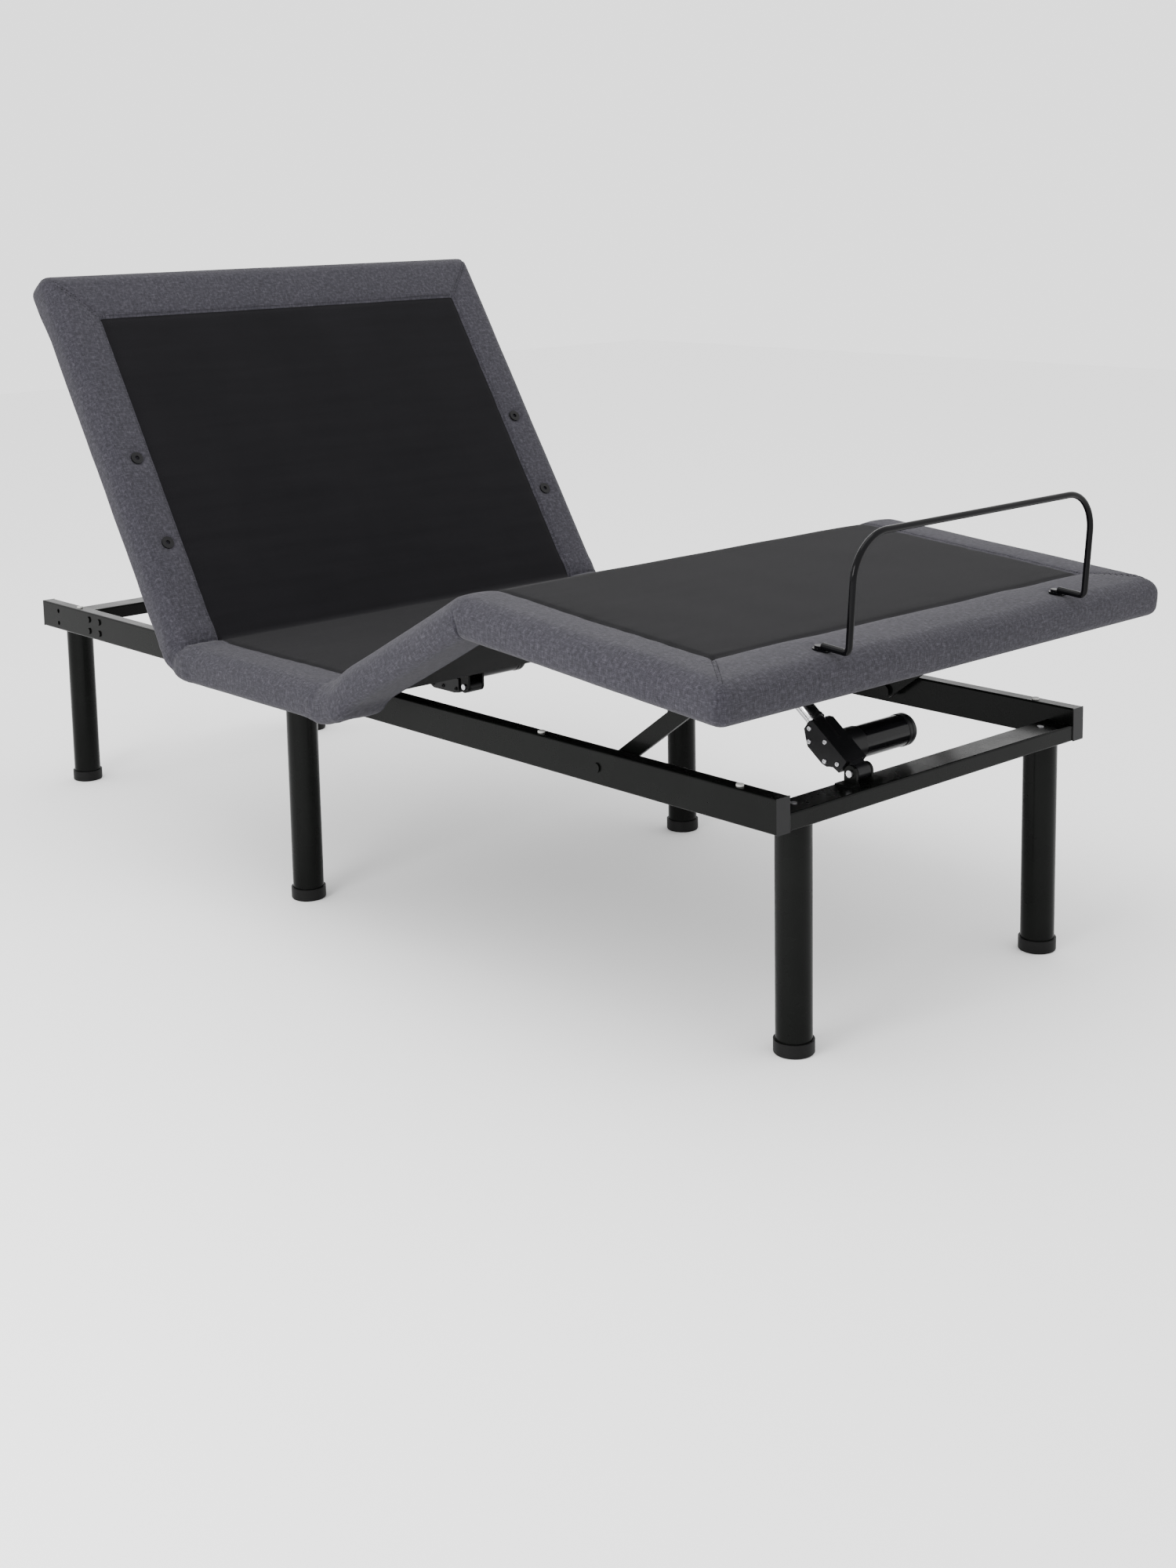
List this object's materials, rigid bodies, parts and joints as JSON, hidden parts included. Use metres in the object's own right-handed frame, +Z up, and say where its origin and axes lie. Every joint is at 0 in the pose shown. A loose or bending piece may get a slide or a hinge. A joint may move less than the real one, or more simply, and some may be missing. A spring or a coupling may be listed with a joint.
{
  "type": "adjustable_bed_base",
  "caption": "Adjustable bed base: steel-legged chassis, grey linen-covered split deck raised at back and knees, two linear actuators, mattress retainer bar.",
  "frame": {"origin": "centre of the footprint in the raised pose, on the floor", "axes": "X across the bed (right side when looking from foot to head), Y from foot to head, Z up"},
  "size_m": [0.965, 2.0292, 1.0259],
  "materials": {
    "black_steel": "gloss black powder coat",
    "zinc_steel": "bright zinc plate",
    "bright_steel": "ground bright steel",
    "black_plastic": "moulded black plastic",
    "motor_black": "satin black can",
    "black_rubber": "moulded rubber",
    "pale_rubber": "soft pale rubber",
    "board": "raw plywood",
    "grey_linen": "woven heather grey linen look",
    "black_felt": "black non-slip panel fabric with a short pile",
    "retainer_black": "gloss black"
  },
  "bodies": {
    "chassis": {"right_side_rail": "black_steel", "left_side_rail": "black_steel", "rail_head_sections": "black_steel", "rail_splice_sleeves": "zinc_steel", "rail_splice_bolts": "black_steel", "rail_end_caps": "black_plastic", "foot_cross_rail": "black_steel", "head_cross_rail": "black_steel", "seat_cross_rails": "black_steel", "mid_leg_bracket": "black_steel", "foot_legs": "black_steel", "mid_legs": "black_steel", "head_legs": "black_steel", "leg_studs": "zinc_steel", "leg_glides": "black_rubber", "rail_bumpers": "pale_rubber", "seat_bolts": "zinc_steel", "seat_board": "board", "seat_foam": "black_felt", "seat_bolsters": "grey_linen", "seat_hinge_leaves": "zinc_steel", "seat_hinge_pins": "zinc_steel", "link_pivot_bolts": "black_steel", "actuator_base_brackets": "black_steel", "actuator_base_pins": "zinc_steel", "lift_pivot_brackets": "black_steel", "head_gearbox": "black_plastic", "head_motor": "motor_black", "control_box": "black_plastic", "mains_inlet": "black_plastic"},
    "back": {"back_board": "board", "back_foam": "black_felt", "back_bolsters": "grey_linen", "back_side_sockets": "black_plastic", "back_hinge_leaves": "zinc_steel", "back_lift_tracks": "black_steel"},
    "thigh": {"thigh_board": "board", "thigh_foam": "black_felt", "thigh_bolsters": "grey_linen", "thigh_hinge_leaves": "zinc_steel", "knee_hinge_pins": "zinc_steel"},
    "calf": {"calf_board": "board", "calf_foam": "black_felt", "calf_bolsters": "grey_linen", "calf_hinge_leaves": "zinc_steel", "calf_link_brackets": "black_steel", "calf_actuator_bracket": "black_steel", "mattress_retainer_bar": "retainer_black", "retainer_screws": "retainer_black"},
    "left_link": {"left_calf_link": "black_steel"},
    "right_link": {"right_calf_link": "black_steel"},
    "foot_actuator": {"foot_gearbox": "black_plastic", "foot_motor": "motor_black"},
    "foot_rod": {"foot_actuator_rod": "bright_steel"},
    "lift_frame": {"head_torque_tube": "black_steel", "head_lift_arms": "black_steel", "head_lift_crank": "black_steel"},
    "left_roller": {"left_lift_roller": "black_plastic"},
    "right_roller": {"right_lift_roller": "black_plastic"},
    "head_rod": {"head_actuator_rod": "bright_steel"}
  },
  "joints": [
    {"name": "back_fold", "type": "hinge", "parent": "chassis", "child": "back", "pos_m": [0, 0.28014, 0.398], "axis": [1, 0, 0], "range_deg": [-57.6, 0]},
    {"name": "thigh_fold", "type": "hinge", "parent": "chassis", "child": "thigh", "pos_m": [0, -0.12485, 0.398], "axis": [-1, 0, 0], "range_deg": [-28.2, 0]},
    {"name": "knee_fold", "type": "hinge", "parent": "thigh", "child": "calf", "pos_m": [0, -0.4668, 0.58135], "axis": [1, 0, 0], "range_deg": [-32.71, 0]},
    {"name": "left_link_swing", "type": "hinge", "parent": "chassis", "child": "left_link", "pos_m": [-0.299, -0.60334, 0.347], "axis": [1, 0, 0], "range_deg": [0, 35.93]},
    {"name": "right_link_swing", "type": "hinge", "parent": "chassis", "child": "right_link", "pos_m": [0.299, -0.60334, 0.347], "axis": [1, 0, 0], "range_deg": [0, 35.93]},
    {"name": "foot_actuator_tilt", "type": "hinge", "parent": "chassis", "child": "foot_actuator", "pos_m": [-0.14, -0.91385, 0.3625], "axis": [1, 0, 0], "range_deg": [-37.7, 0]},
    {"name": "foot_rod_slide", "type": "slide", "parent": "foot_actuator", "child": "foot_rod", "axis": [0, 0.7969, 0.6042], "range_m": [-0.10468, 0]},
    {"name": "head_lift", "type": "hinge", "parent": "chassis", "child": "lift_frame", "pos_m": [0, 0.30834, 0.3467], "axis": [1, 0, 0], "range_deg": [-57.61, 0]},
    {"name": "left_roller_spin", "type": "hinge", "parent": "lift_frame", "child": "left_roller", "pos_m": [-0.265, 0.53339, 0.70132], "axis": [1, 0, 0], "continuous": true},
    {"name": "right_roller_spin", "type": "hinge", "parent": "lift_frame", "child": "right_roller", "pos_m": [0.265, 0.53339, 0.70132], "axis": [1, 0, 0], "continuous": true},
    {"name": "head_rod_slide", "type": "slide", "parent": "chassis", "child": "head_rod", "axis": [0, 1, 0], "range_m": [-0.05976, 0]}
  ],
  "couplings": [
    {"joint": "knee_fold", "follows": "thigh_fold", "ratio": 1.1596},
    {"joint": "left_link_swing", "follows": "thigh_fold", "ratio": -1.2737},
    {"joint": "right_link_swing", "follows": "thigh_fold", "ratio": -1.2737},
    {"joint": "foot_actuator_tilt", "follows": "thigh_fold", "ratio": 1.3364},
    {"joint": "foot_rod_slide", "follows": "thigh_fold", "m_per_rad": 0.21264},
    {"joint": "head_lift", "follows": "back_fold", "ratio": 1},
    {"joint": "head_rod_slide", "follows": "back_fold", "m_per_rad": 0.059422}
  ]
}
